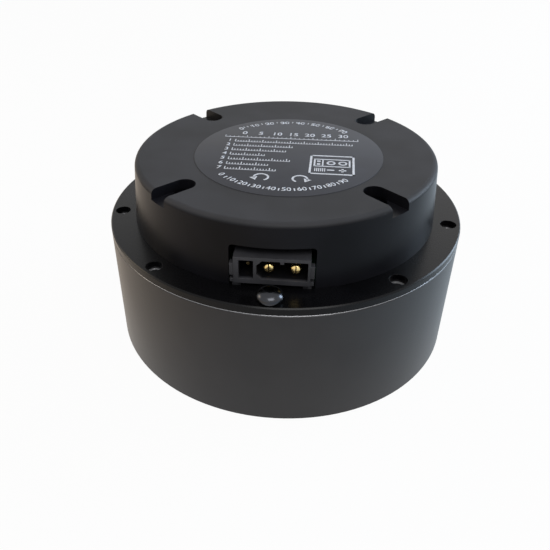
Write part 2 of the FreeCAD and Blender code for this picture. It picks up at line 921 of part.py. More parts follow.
# ---- Output body ----
def output_flange():
    body = turned([
        (0, pilot_depth),
        (pilot_r, pilot_depth),
        (pilot_r, 0),
        (output_face_r - output_chamfer, 0),
        (output_face_r, output_chamfer),
        (output_face_r, bearing_z),
        (bearing_bore_r, bearing_z),
        (bearing_bore_r, output_plate_thick),
        (front_bearing_r, output_plate_thick),
        (front_bearing_r, front_bearing_z),
        (0, front_bearing_z),
    ])
    pillars = holes(
        pillar_r, pillar_circle_r, pillar_angles(), output_plate_thick - pillar_root, carrier_plate_z
    )
    bolt_angles = angles(output_bolt_count, output_first_bolt)
    cuts = holes(m4_tap_r, output_bolt_circle_r, bolt_angles, 0, output_bolt_depth)
    cuts += holes(output_dowel_r, output_bolt_circle_r, output_dowel_angles, 0, output_dowel_depth)
    pin_low = output_plate_thick - planet_pin_depth
    cuts += holes(planet_pin_r, planet_circle_r, angles(planet_count), pin_low, output_plate_thick)
    tap_low = carrier_top_z - carrier_screw_length - carrier_tap_run_out
    cuts += holes(m25_tap_r, pillar_circle_r, pillar_angles(), tap_low, carrier_plate_z)
    return body.fuse(pillars).cut(cuts)


def pillar_angles():
    """The pillars stand half way between the planets."""
    return angles(planet_count, 180.0 / planet_count)


def planet_pins():
    low = output_plate_thick - planet_pin_depth
    return holes(planet_pin_r, planet_circle_r, angles(planet_count), low, carrier_top_z)


def carrier_plate():
    plate = ring(carrier_plate_bore_r, carrier_plate_r, carrier_plate_z, carrier_top_z)
    cuts = holes(
        planet_pin_r, planet_circle_r, angles(planet_count), carrier_plate_z, carrier_top_z
    )
    for degrees in pillar_angles():
        centre = polar(pillar_circle_r, degrees)
        cuts.append(
            countersink(
                m25_head_r,
                carrier_screw_head,
                m25_tap_r,
                carrier_plate_thick,
                centre,
                carrier_top_z,
                True,
            )
        )
    return plate.cut(cuts)


def carrier_screws():
    return [
        countersunk_screw(
            m25_head_r - tap_gap,
            carrier_screw_head,
            m25_tap_r - tap_gap,
            carrier_screw_length,
            polar(pillar_circle_r, degrees),
            carrier_top_z,
            True,
        )
        for degrees in pillar_angles()
    ]


# ---- Rotor body ----
def rotor_bell():
    slope_r = rotor_dish_r + rotor_dish_drop
    return turned([
        (rotor_ring_r, rotor_ring_z),
        (rotor_ring_r, rotor_web_top_z),
        (slope_r, rotor_web_top_z),
        (rotor_dish_r, rotor_dish_top_z),
        (rotor_hub_r, rotor_dish_top_z),
        (rotor_hub_r, hub_top_z),
        (encoder_magnet_r, hub_top_z),
        (encoder_magnet_r, encoder_magnet_z),
        (sun_shaft_r, encoder_magnet_z),
        (sun_shaft_r, rotor_dish_z),
        (rotor_dish_r - rotor_slope_wall, rotor_dish_z),
        (slope_r - rotor_slope_wall, rotor_web_z),
        (rotor_ring_inner_r, rotor_web_z),
        (rotor_ring_inner_r, rotor_ring_z),
    ])


def rotor_magnets():
    low = rotor_ring_z + magnet_lift
    high = low + magnet_height
    hoop = ring(rotor_ring_r, magnet_r, low, high)
    gap = block(
        (rotor_ring_r - magnet_cut_over, magnet_r + magnet_cut_over),
        (-magnet_spacing / 2, magnet_spacing / 2),
        (low, high),
    )
    return hoop.cut(repeat(gap, angles(magnet_count))).Solids


def sun_gear():
    teeth = outer_gear(sun_teeth, planet_z, planet_top_z + sun_teeth_over)
    shaft = disc(sun_shaft_r, planet_top_z, encoder_magnet_z)
    stub = disc(sun_stub_r, front_bearing_z + sun_stub_gap, planet_z + fuse_overlap)
    return teeth.fuse([shaft, stub]).removeSplitter()


def encoder_magnet():
    return disc(encoder_magnet_r, encoder_magnet_z, hub_top_z)


# ---- Planet bodies ----
def planet_gear(degrees):
    gear = outer_gear(planet_teeth, planet_z, planet_top_z)
    gear = gear.cut(disc(bush_r, planet_z, planet_top_z))
    gear.translate(polar(planet_circle_r, 0))
    return turned_about(gear, degrees)


def planet_bush(degrees):
    low = planet_z - bush_overhang
    bush = ring(planet_pin_r + bush_running_gap, bush_r, low, planet_top_z + bush_overhang)
    bush.translate(polar(planet_circle_r, 0))
    return turned_about(bush, degrees)


def group(solids):
    return Part.makeCompound(solids)


def main():
    os.makedirs("parts", exist_ok=True)
    save("motor_housing", motor_housing())
    save("bearing_retainer", bearing_retainer())
    save("retainer_screws", group(retainer_screws()))
    save("output_bearing_outer_race", output_bearing_outer_race())
    save("output_bearing_rollers", group(output_bearing_rollers()))
    save("ring_gear", ring_gear())
    save("stator_core", stator_core())
    save("stator_windings", group(stator_windings()))
    save("phase_leads", group(phase_leads()))
    save("rear_flange", rear_flange())
    save("flange_screws", group(flange_screws()))
    save(
        "rotor_rear_bearing_outer",
        bearing_outer_ring(rear_bearing_r, rotor_hub_r, rear_bearing_z, rear_bearing_width),
    )
    save("driver_board", driver_board())
    save("power_transistors", group(power_transistors()))
    save("controller_chip", on_board((chip_side, chip_side, chip_thick), 0.0, chip_circle_r))
    save("bus_capacitors", group(bus_capacitors()))
    save("encoder_sensor", encoder_sensor())
    save("connector_housing", connector_housing())
    save("power_pins", group(power_pins()))
    save("signal_pins", group(signal_pins()))
    save("rear_cap", rear_cap())
    save("cap_screws", group(cap_screws()))
    save("label_disc", label_disc())
    save("output_flange", output_flange())
    save("output_bearing_inner_race", output_bearing_inner_race())
    save("planet_pins", group(planet_pins()))
    save("carrier_plate", carrier_plate())
    save("carrier_screws", group(carrier_screws()))
    save(
        "rotor_front_bearing_outer",
        bearing_outer_ring(front_bearing_r, sun_stub_r, front_bearing_z, front_bearing_width),
    )
    save("rotor_bell", rotor_bell())
    save("rotor_magnets", group(rotor_magnets()))
    save("sun_gear", sun_gear())
    save(
        "rotor_front_bearing_inner",
        bearing_inner_ring(sun_stub_r, front_bearing_z, front_bearing_width),
    )
    save(
        "rotor_rear_bearing_inner",
        bearing_inner_ring(rotor_hub_r, rear_bearing_z, rear_bearing_width),
    )
    save("encoder_magnet", encoder_magnet())
    for number, degrees in enumerate(angles(planet_count), start=1):
        save(f"planet_gear_{number}", planet_gear(degrees))
        save(f"planet_bush_{number}", planet_bush(degrees))


main()
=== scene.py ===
import math
import json
import bpy
from mathutils import Matrix, Vector


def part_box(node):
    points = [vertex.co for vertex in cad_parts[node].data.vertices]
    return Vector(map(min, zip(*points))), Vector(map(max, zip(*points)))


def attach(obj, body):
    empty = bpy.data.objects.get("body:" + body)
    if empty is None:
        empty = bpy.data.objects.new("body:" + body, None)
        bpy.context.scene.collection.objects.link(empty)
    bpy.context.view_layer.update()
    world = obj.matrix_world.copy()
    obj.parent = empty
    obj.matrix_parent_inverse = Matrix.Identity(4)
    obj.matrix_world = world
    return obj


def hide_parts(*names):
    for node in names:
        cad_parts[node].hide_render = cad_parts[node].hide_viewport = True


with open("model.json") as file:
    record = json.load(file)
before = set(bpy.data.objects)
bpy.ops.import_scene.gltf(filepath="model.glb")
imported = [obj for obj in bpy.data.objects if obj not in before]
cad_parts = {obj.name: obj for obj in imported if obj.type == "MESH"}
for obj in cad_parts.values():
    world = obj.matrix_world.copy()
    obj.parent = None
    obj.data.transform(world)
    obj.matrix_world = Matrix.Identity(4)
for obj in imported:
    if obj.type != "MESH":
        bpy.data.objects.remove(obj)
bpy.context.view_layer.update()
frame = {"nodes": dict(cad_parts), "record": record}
nodes = frame["nodes"]
MM = 0.001

# ---- Places read from the frame ----
housing_low, housing_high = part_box("motor_housing")
label_low, label_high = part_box("label_disc")
plug_low, plug_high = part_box("connector_housing")
flange_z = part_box("rear_flange")[1].z
cap_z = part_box("rear_cap")[1].z
label_r = (label_high.x - label_low.x) / 2
label_middle = (label_low + label_high) / 2


# ---- Shader kit ----
# Places of the colour sockets in a Mix node, which shares their names with others.
MIX_COLOR_A, MIX_COLOR_B, MIX_COLOR_OUT = 6, 7, 2


class Value:
    """A number from a socket, so that shader maths can be written as Python expressions."""

    def __init__(self, finish, socket):
        self.finish = finish
        self.socket = socket

    def maths(self, operation, other=None, swap=False):
        pair = (other, self) if swap else (self, other)
        inputs = {index: item for index, item in enumerate(pair) if item is not None}
        return self.finish.node("ShaderNodeMath", {"operation": operation}, inputs)

    def __add__(self, other):
        return self.maths("ADD", other)

    __radd__ = __add__

    def __mul__(self, other):
        return self.maths("MULTIPLY", other)

    def __sub__(self, other):
        return self.maths("SUBTRACT", other)

    def __rsub__(self, other):
        return self.maths("SUBTRACT", other, swap=True)

    def step(self, low, high, start=0.0, end=1.0):
        """A smooth rise from start at low to end at high."""
        return self.finish.node(
            "ShaderNodeMapRange",
            {"interpolation_type": "SMOOTHSTEP", "clamp": True},
            {"Value": self, "From Min": low, "From Max": high, "To Min": start, "To Max": end},
        )


class Finish:
    """One material: a Principled shader and a short way to add nodes to it."""

    def __init__(self, name, **settings):
        self.material = bpy.data.materials.new(name)
        self.material.use_nodes = True
        self.tree = self.material.node_tree
        self.shader = self.tree.nodes["Principled BSDF"]
        for socket, value in settings.items():
            self.set(socket.replace("_", " "), value)
        self.place = self.node("ShaderNodeTexCoord", {}, {}, "Object")

    def set(self, name, value):
        socket = self.shader.inputs[name]
        if isinstance(value, Value):
            self.tree.links.new(value.socket, socket)
        elif isinstance(value, tuple) and len(value) == 3:
            socket.default_value = (*value, 1.0) if len(socket.default_value) == 4 else value
        else:
            socket.default_value = value

    def node(self, kind, settings, inputs, output=0):
        """A new node with its settings made and its inputs set or linked; gives one output."""
        made = self.tree.nodes.new(kind)
        for name, value in settings.items():
            setattr(made, name, value)
        for name, value in inputs.items():
            socket = made.inputs[name]
            if isinstance(value, Value):
                self.tree.links.new(value.socket, socket)
            elif isinstance(value, tuple) and len(socket.default_value) == 4:
                socket.default_value = (*value, 1.0)
            else:
                socket.default_value = value
        return Value(self, made.outputs[output])

    def noise(self, size, detail=2.0, roughness=0.5):
        """Noise from 0 to 1 whose blobs are about size metres across."""
        return self.node(
            "ShaderNodeTexNoise",
            {},
            {"Vector": self.place, "Scale": 1.0 / size, "Detail": detail, "Roughness": roughness},
        )

    def axes(self):
        """The x, y and z of the place on the object, in metres."""
        split = self.node("ShaderNodeSeparateXYZ", {}, {"Vector": self.place})
        outputs = split.socket.node.outputs
        return [Value(self, outputs[index]) for index in range(3)]

    def radius(self):
        """The distance from the main axis."""
        x, y, _ = self.axes()
        return (x * x + y * y).maths("SQRT")

    def blend(self, factor, first, second):
        """Colour first where factor is 0, second where it is 1."""
        return self.node(
            "ShaderNodeMix",
            {"data_type": "RGBA"},
            {"Factor": factor, MIX_COLOR_A: first, MIX_COLOR_B: second},
            MIX_COLOR_OUT,
        )

    def bump(self, height, distance, corner=0.0):
        """Relief of the given depth in metres, over edges rounded to a radius of corner."""
        inputs = {"Height": height, "Distance": distance}
        if corner:
            inputs["Normal"] = self.node("ShaderNodeBevel", {"samples": 4}, {"Radius": corner})
        self.set("Normal", self.node("ShaderNodeBump", {}, inputs))


# ---- Finishes ----
EDGE_ROUND = 0.12 * MM
CAP_EDGE_ROUND = 0.16 * MM
SOCKET_EDGE_ROUND = 0.15 * MM
# The housing's top edge gets a painted highlight: a thin lighter metallic band.
EDGE_HIGHLIGHT_START = 0.26 * MM  # below the housing's top
EDGE_HIGHLIGHT_FULL = 0.20 * MM
# The cap's top: here the painted light and the matt finish start, and the wall's painted shade and
# coat end.
CAP_TOP_START = 1.6 * MM  # below the cap's top, where the wall's finish gives way
CAP_TOP_FULL = 0.1 * MM
# Where the connector's cavities get their painted shade.
CAVITY_DEPTH = (0.3 * MM, 0.9 * MM)  # behind the connector's face
CAVITY_LEFT = (-6.4 * MM, -6.2 * MM)
CAVITY_RIGHT = (6.7 * MM, 6.9 * MM)
CAVITY_ROOF = (0.6 * MM, 0.4 * MM)  # below the connector's top
TURNING_PITCH = 0.16 * MM


def fine_grain(finish, colors, grain, spread, rough, rough_spread, depth, corner=0.0):
    """A fine even grain: small changes of colour and roughness, and a shallow bump."""
    fine = finish.noise(grain, 3.0, 0.6)
    broad = finish.noise(spread, 2.0, 0.5)
    finish.set("Base Color", finish.blend(broad.step(0.3, 0.7), *colors))
    finish.set("Roughness", rough + (fine - 0.5) * rough_spread + (broad - 0.5) * rough_spread)
    finish.bump(fine, depth, corner)
    return finish


def housing_grey():
    """Gunmetal anodising over turned aluminium, with a painted highlight along its top edge as a
    thin lighter metallic band.
    """
    finish = Finish("housing_grey", Specular_IOR_Level=0.34)
    fine = finish.noise(0.25 * MM, 3.0, 0.6)
    broad = finish.noise(14 * MM, 2.0, 0.5)
    _, _, z = finish.axes()
    # Painted highlight: a thin lighter metallic band along the top edge.
    edge = z.step(housing_high.z - EDGE_HIGHLIGHT_START, housing_high.z - EDGE_HIGHLIGHT_FULL)
    skin = finish.blend(broad.step(0.3, 0.7), (0.011, 0.010, 0.011), (0.016, 0.015, 0.016))
    finish.set("Base Color", finish.blend(edge, skin, (0.42, 0.42, 0.44)))
    finish.set("Metallic", edge * 0.8)
    finish.set("Roughness", 0.28 + (fine + broad) * 0.08)
    finish.bump(fine, 0.004 * MM, EDGE_ROUND)
    return finish.material


def flange_black():
    """Gloss black anodising, smooth enough to mirror the cap."""
    finish = Finish("flange_black", Specular_IOR_Level=0.15)
    colors = ((0.0014, 0.0014, 0.0018), (0.0026, 0.0026, 0.0032))
    return fine_grain(
        finish, colors, grain=0.22 * MM, spread=9 * MM, rough=0.27, rough_spread=0.06,
        depth=0.0015 * MM, corner=EDGE_ROUND,
    ).material


def cap_black():
    """Black casting: matt on its flat top and coated down its wall; the top is painted lighter as
    light from above and the wall painted darker as shade.
    """
    finish = Finish("cap_black", Specular_IOR_Level=0.02, Coat_IOR=1.18, Coat_Roughness=0.34)
    fine = finish.noise(0.30 * MM, 3.0, 0.6)
    broad = finish.noise(12 * MM, 2.0, 0.5).step(0.3, 0.7)
    _, _, z = finish.axes()
    facing = finish.node("ShaderNodeTexCoord", {}, {}, "Normal")
    upward = finish.node("ShaderNodeSeparateXYZ", {}, {"Vector": facing}, "Z")
    # Painted light and shade: the upward-facing top gets a lighter colour as if lit from above,
    # and the wall a darker colour as shade.
    top = z.step(cap_z - CAP_TOP_START, cap_z - CAP_TOP_FULL) * upward.step(0.1, 0.8)
    wall = finish.blend(broad, (0.0035, 0.0035, 0.0045), (0.006, 0.006, 0.008))
    face = finish.blend(broad, (0.044, 0.044, 0.046), (0.053, 0.053, 0.057))
    finish.set("Base Color", finish.blend(top, wall, face))
    finish.set("Roughness", 0.5 + (fine - 0.5) * 0.1)
    finish.set("Coat Weight", 1 - top * 0.9)
    finish.bump(fine, 0.008 * MM, CAP_EDGE_ROUND)
    return finish.material


def label_film():
    """Dark grey plastic film with a satin face."""
    finish = Finish("label_film", Specular_IOR_Level=0.06)
    colors = ((0.053, 0.054, 0.061), (0.060, 0.062, 0.071))
    return fine_grain(
        finish, colors, grain=0.15 * MM, spread=8 * MM, rough=0.40, rough_spread=0.08,
        depth=0.002 * MM,
    ).material


def print_grey():
    """Pale grey ink, thin enough to be a little uneven."""
    finish = Finish("print_grey", Specular_IOR_Level=0.3)
    patchy = finish.noise(0.5 * MM, 3.0, 0.6).step(0.3, 0.7)
    finish.set("Base Color", finish.blend(patchy, (0.50, 0.52, 0.56), (0.66, 0.68, 0.74)))
    finish.set("Roughness", 0.45 + patchy * 0.1)
    return finish.material


def black_plastic(name="black_plastic"):
    finish = Finish(name, Specular_IOR_Level=0.3)
    colors = ((0.040, 0.040, 0.044), (0.050, 0.050, 0.056))
    return fine_grain(
        finish, colors, grain=0.12 * MM, spread=4 * MM, rough=0.42, rough_spread=0.12,
        depth=0.004 * MM, corner=EDGE_ROUND,
    ).material


def socket_plastic():
    """The connector's moulding, with painted shade inside its cavities."""
    finish = Finish("socket_plastic", Specular_IOR_Level=0.25)
    fine = finish.noise(0.12 * MM, 3.0, 0.6)
    broad = finish.noise(4 * MM, 2.0, 0.5).step(0.3, 0.7)
    x, y, z = finish.axes()
    # Painted shade: the colour turns nearly black inside the contact cavities.
    behind = y.step(*(plug_low.y + depth for depth in CAVITY_DEPTH))
    across = x.step(*CAVITY_LEFT) * (1 - x.step(*CAVITY_RIGHT))
    under = 1 - z.step(*(plug_high.z - depth for depth in CAVITY_ROOF))
    skin = finish.blend(broad, (0.032, 0.032, 0.036), (0.041, 0.041, 0.046))
    finish.set("Base Color", finish.blend(behind * across * under, skin, (0.004, 0.004, 0.005)))
    finish.set("Roughness", 0.42 + (fine - 0.5) * 0.12)
    finish.bump(fine, 0.004 * MM, SOCKET_EDGE_ROUND)
    return finish.material


def plain_metal(name, color, roughness, spread=0.06):
    """Metal of one colour, with soft darker patches."""
    finish = Finish(name, Metallic=1.0)
    grain = finish.noise(0.2 * MM, 2.0)
    broad = finish.noise(3 * MM, 2.0)
    dark = tuple(part * 0.85 for part in color)
    finish.set("Base Color", finish.blend(broad.step(0.35, 0.65), dark, color))
    finish.set("Roughness", roughness + (grain - 0.5) * spread)
    return finish.material


def turned_aluminium():
    """Bare aluminium faced on a lathe: fine rings about the main axis."""
    finish = Finish("turned_aluminium", Metallic=1.0)
    rings = (finish.radius() * (2 * math.pi / TURNING_PITCH)).maths("SINE")
    broad = finish.noise(7 * MM, 2.0).step(0.3, 0.7)
    finish.set("Base Color", finish.blend(broad, (0.50, 0.51, 0.53), (0.56, 0.57, 0.59)))
    finish.set("Roughness", 0.30 + rings * 0.05 + broad * 0.04)
    finish.bump(rings, 0.003 * MM, EDGE_ROUND)
    return finish.material


# The signal pins' gold, painted darker as shade for the cavity they sit in.
def dull_gold():
    return plain_metal("dull_gold", (0.20, 0.15, 0.07), 0.45)


def board_green():
    finish = Finish("board_green", Roughness=0.35)
    traces = finish.noise(1.2 * MM, 0.0).step(0.48, 0.52)
    finish.set("Base Color", finish.blend(traces, (0.014, 0.07, 0.035), (0.03, 0.12, 0.06)))
    return finish.material


FINISHES = {
    "housing_grey": housing_grey,
    "flange_black": flange_black,
    "cap_black": cap_black,
    "label_film": label_film,
    "black_plastic": black_plastic,
    "gold_contact": lambda: plain_metal("gold_contact", (0.98, 0.74, 0.32), 0.22),
    "black_screw": lambda: plain_metal("black_screw", (0.050, 0.052, 0.058), 0.22),
    "bearing_steel": lambda: plain_metal("bearing_steel", (0.62, 0.62, 0.64), 0.18),
    "gear_steel": lambda: plain_metal("gear_steel", (0.42, 0.42, 0.43), 0.32),
    "output_aluminium": turned_aluminium,
    "rotor_steel": lambda: plain_metal("rotor_steel", (0.30, 0.30, 0.31), 0.35),
    "magnet_nickel": lambda: plain_metal("magnet_nickel", (0.58, 0.57, 0.54), 0.22),
    "core_steel": lambda: plain_metal("core_steel", (0.25, 0.26, 0.28), 0.5),
    "copper_wire": lambda: plain_metal("copper_wire", (0.66, 0.28, 0.12), 0.3),
    "bronze": lambda: plain_metal("bronze", (0.58, 0.38, 0.16), 0.35),
    "circuit_board": board_green,
    "chip_black": lambda: black_plastic("chip_black"),
    "capacitor_can": lambda: plain_metal("capacitor_can", (0.6, 0.6, 0.62), 0.3),
}


def dress_nodes():
    """Give each CAD piece the finish of its slot; the plug has two finishes of its own, both with
    painted shade.
    """
    made = {name: make() for name, make in FINISHES.items()}
    for part in frame["record"]["subparts"]:
        node = nodes[part["node"]]
        node.data.materials.clear()
        node.data.materials.append(made[part["material_slot"]])
    for name, finish in (("connector_housing", socket_plastic()), ("signal_pins", dull_gold())):
        nodes[name].data.materials[0] = finish
    return made


finishes = dress_nodes()


# ---- Modelling kit ----
LEVEL_MATCH = 0.01 * MM  # how near a level a corner has to be to count as on it
FACING_DOWN = -0.99


def deselect():
    bpy.ops.object.select_all(action="DESELECT")


def cleared_mesh():
    """Leave edit mode and drop what was selected."""
    finish_edit()
    mesh = bpy.context.object.data
    for item in (*mesh.vertices, *mesh.edges, *mesh.polygons):
        item.select = False
    return mesh


def select_faces(test):
    """In edit mode, select the faces whose middle and normal pass the test."""
    for face in cleared_mesh().polygons:
        face.select = test(face.center, face.normal)
    bpy.ops.object.mode_set(mode="EDIT")


def select_edges(test):
    """In edit mode, select the edges both of whose ends pass the test."""
    mesh = cleared_mesh()
    for edge in mesh.edges:
        edge.select = all(test(mesh.vertices[index].co) for index in edge.vertices)
    bpy.ops.object.mode_set(mode="EDIT")


def edit(select_mode="FACE"):
    """Go into edit mode, to pick faces or edges."""
    bpy.ops.object.mode_set(mode="EDIT")
    bpy.ops.mesh.select_mode(type=select_mode)


def finish_edit():
    bpy.ops.object.mode_set(mode="OBJECT")


def face_outward():
    """In edit mode, turn every face's normal outward."""
    bpy.ops.mesh.select_all(action="SELECT")
    bpy.ops.mesh.normals_make_consistent(inside=False)


def extrude(x, y, z):
    bpy.ops.mesh.extrude_region_move(TRANSFORM_OT_translate={"value": (x, y, z)})


def applied(piece, kind, **settings):
    """Add a modifier and make its result the mesh."""
    modifier = piece.modifiers.new(kind.lower(), kind)
    for name, value in settings.items():
        setattr(modifier, name, value)
    bpy.context.view_layer.objects.active = piece
    bpy.ops.object.modifier_apply(modifier=modifier.name)


def settle(piece):
    """Put the piece's place, turn and size into its mesh."""
    deselect()
    piece.select_set(True)
    bpy.context.view_layer.objects.active = piece
    bpy.ops.object.transform_apply(location=True, rotation=True, scale=True)


def cut_away(piece, cutter):
    """Take the cutter's shape out of the piece; the cutter is used up."""
    settle(piece)
    settle(cutter)
    applied(piece, "BOOLEAN", operation="DIFFERENCE", object=cutter, solver="EXACT")
    bpy.data.objects.remove(cutter)


def copied_around(piece, degrees):
    """One piece and its copies, each turned about the main axis from where it was made."""
    made = [piece]
    for turn in degrees:
        deselect()
        piece.select_set(True)
        bpy.context.view_layer.objects.active = piece
        bpy.ops.object.duplicate(linked=False)
        copy = bpy.context.object
        copy.rotation_euler.z = math.radians(turn)
        settle(copy)
        made.append(copy)
    return joined(made)


def joined(pieces):
    """One piece made of several, under the first one's name."""
    deselect()
    for piece in pieces:
        piece.select_set(True)
    bpy.context.view_layer.objects.active = pieces[0]
    bpy.ops.object.join()
    return bpy.context.object


def handed_over(piece, name, finish, stands_for=None, smooth=30.0):
    """Give a finished piece its name, finish, body and slot, and the CAD piece it replaces."""
    settle(piece)
    if smooth:
        bpy.ops.object.shade_smooth_by_angle(angle=math.radians(smooth))
    piece.name = name
    piece.data.materials.clear()
    piece.data.materials.append(finish)
    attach(piece, "housing")
    if stands_for:
        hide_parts(stands_for)
    return piece


def hexagon_prism(half_width, depth, middle):
    """An upright hexagon bar; half_width is from its middle to a flat."""
    deselect()
    corner_r = half_width / math.cos(math.radians(30))
    bpy.ops.mesh.primitive_cylinder_add(vertices=6, radius=corner_r, depth=depth, location=middle)
    return bpy.context.object


# ---- Screws ----
DOME_R = 2.55 * MM
DOME_RISE = 1.5 * MM
DOME_SOCKET = (0.9 * MM, 1.2 * MM)  # half width over its flats, and depth
DOME_SEAT_GAP = 0.02 * MM
DOME_SEAT_BAND = 0.1 * MM
DOME_SHOULDER = 0.6 * MM
SHANK_R = 1.23 * MM


def dome_screws():
    """Ball-topped screws: the head bulges over its seat, with a hexagon socket in its top."""
    low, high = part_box("flange_screws")
    circle_r = -low.y - DOME_R
    deselect()
    bpy.ops.mesh.primitive_uv_sphere_add(
        segments=48, ring_count=24, radius=DOME_R, location=(0, -circle_r, high.z - DOME_RISE)
    )
    head = bpy.context.object
    head.scale.z = DOME_RISE / DOME_R
    settle(head)
    edit()
    bpy.ops.mesh.select_all(action="SELECT")
    seat = (0, -circle_r, flange_z + DOME_SEAT_GAP)
    bpy.ops.mesh.bisect(plane_co=seat, plane_no=(0, 0, 1), use_fill=True, clear_inner=True)
    seat_band = flange_z + DOME_SEAT_BAND
    select_faces(lambda middle, normal: normal.z < FACING_DOWN and middle.z < seat_band)
    bpy.ops.mesh.inset(thickness=DOME_SHOULDER, depth=0.0)
    extrude(0, 0, low.z - seat[2])
    finish_edit()
    half_width, depth = DOME_SOCKET
    cut_away(head, hexagon_prism(half_width, 2 * depth, (0, -circle_r, high.z)))
    screws = copied_around(head, (120, 240))
    return handed_over(
        screws, "dome_screw_set", finishes["black_screw"], "flange_screws"
    )


HEAD_R = 2.25 * MM
HEAD_TALL = 2.5 * MM
HEAD_SOCKET = (1.15 * MM, 1.3 * MM)  # half width over its flats, and depth
HEAD_EDGE = 0.22 * MM
SLOT_TURN = 45  # degrees from the x axis to the first slot


def cap_screws():
    """Socket-head screws with a rounded top edge, in the slots' inner ends."""
    low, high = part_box("cap_screws")
    circle_r = (high.x - HEAD_R) * math.sqrt(2)
    deselect()
    bpy.ops.mesh.primitive_cylinder_add(
        vertices=48, radius=HEAD_R, depth=HEAD_TALL, location=(circle_r, 0, high.z - HEAD_TALL / 2)
    )
    head = bpy.context.object
    settle(head)
    edit()
    select_faces(lambda middle, normal: normal.z < FACING_DOWN)
    bpy.ops.mesh.inset(thickness=HEAD_R - SHANK_R, depth=0.0)
    extrude(0, 0, low.z - (high.z - HEAD_TALL))
    finish_edit()
    half_width, depth = HEAD_SOCKET
    cut_away(head, hexagon_prism(half_width, 2 * depth, (circle_r, 0, high.z)))
    edit("EDGE")
    select_edges(lambda point: point.z > high.z - LEVEL_MATCH)
    bpy.ops.mesh.bevel(offset=HEAD_EDGE, segments=3, affect="EDGES")
    finish_edit()
    head.rotation_euler.z = math.radians(SLOT_TURN)
    settle(head)
    screws = copied_around(head, (90, 180, 270))
    return handed_over(
        screws, "cap_screw_set", finishes["black_screw"], "cap_screws"
    )


# ---- Contacts ----
PIN_R = 1.0 * MM
PIN_SLIT = 0.22 * MM
PIN_SLIT_DEEP = 3.5 * MM
PIN_SLIT_OVER = 0.2 * MM
PIN_DOME = 0.55 * MM


def power_pin(x, z, front, back):
    """A round gold contact with a domed end, split down its middle."""
    deselect()
    bpy.ops.mesh.primitive_cylinder_add(
        vertices=48, radius=PIN_R, depth=back - front, location=(x, (front + back) / 2, z),
        rotation=(math.radians(90), 0, 0),
    )
    pin = bpy.context.object
    settle(pin)
    edit("EDGE")
    select_edges(lambda point: point.y < front + LEVEL_MATCH)
    bpy.ops.mesh.bevel(offset=PIN_DOME, segments=6, affect="EDGES")
    finish_edit()
    deselect()
    bpy.ops.mesh.primitive_cube_add(size=1.0, location=(x, front + PIN_SLIT_DEEP / 2, z))
    slit = bpy.context.object
    slit.scale = (PIN_SLIT, PIN_SLIT_DEEP + PIN_SLIT_OVER, 3 * PIN_R)
    cut_away(pin, slit)
    return pin


def power_pins():
    """The connector's two power contacts."""
    low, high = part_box("power_pins")
    z = (low.z + high.z) / 2
    pins = [power_pin(x, z, low.y, high.y) for x in (low.x + PIN_R, high.x - PIN_R)]
    return handed_over(
        joined(pins), "power_pin_pair", finishes["gold_contact"], "power_pins"
    )


# ---- Label: a film with a generic printed scale ----
FILM_THICK = 0.12 * MM
FILM_EDGE = 0.05 * MM
INK_THICK = 0.02 * MM
INK_SINK = 0.005 * MM  # how far the ink reaches into the film
INK_WEIGHT = 0.012  # how much figures are thickened, as a share of their size
LABEL_TURN = math.radians(-1.9)
# What follows is in millimetres from the label's middle.
RULE_Y = 7.8
RULE_LONG = 30.1
RULE_WIDE = 0.22
ROW_PITCH = 2.43
ROW_TOP = 5.8
ROW_DROP = 0.62  # from a row's middle down to its base line
ROW_STEP = 0.62  # from tick to tick
ROW_START = -12.3
UPRIGHT_TURN = math.pi / 2


def label_disc():
    """The film: a thin disc whose top edge is rounded off."""
    deselect()
    place = (label_middle.x, label_middle.y, label_low.z)
    bpy.ops.mesh.primitive_circle_add(
        vertices=160, radius=label_r, fill_type="NGON", location=place
    )
    film = bpy.context.object
    settle(film)
    edit()
    bpy.ops.mesh.select_all(action="SELECT")
    extrude(0, 0, FILM_THICK)
    face_outward()
    bpy.ops.mesh.select_mode(type="EDGE")
    top = label_low.z + FILM_THICK
    select_edges(lambda point: point.z > top - LEVEL_MATCH)
    bpy.ops.mesh.bevel(offset=FILM_EDGE, segments=2, affect="EDGES")
    finish_edit()
    return handed_over(
        film, "label_film_disc", finishes["label_film"], "label_disc"
    )


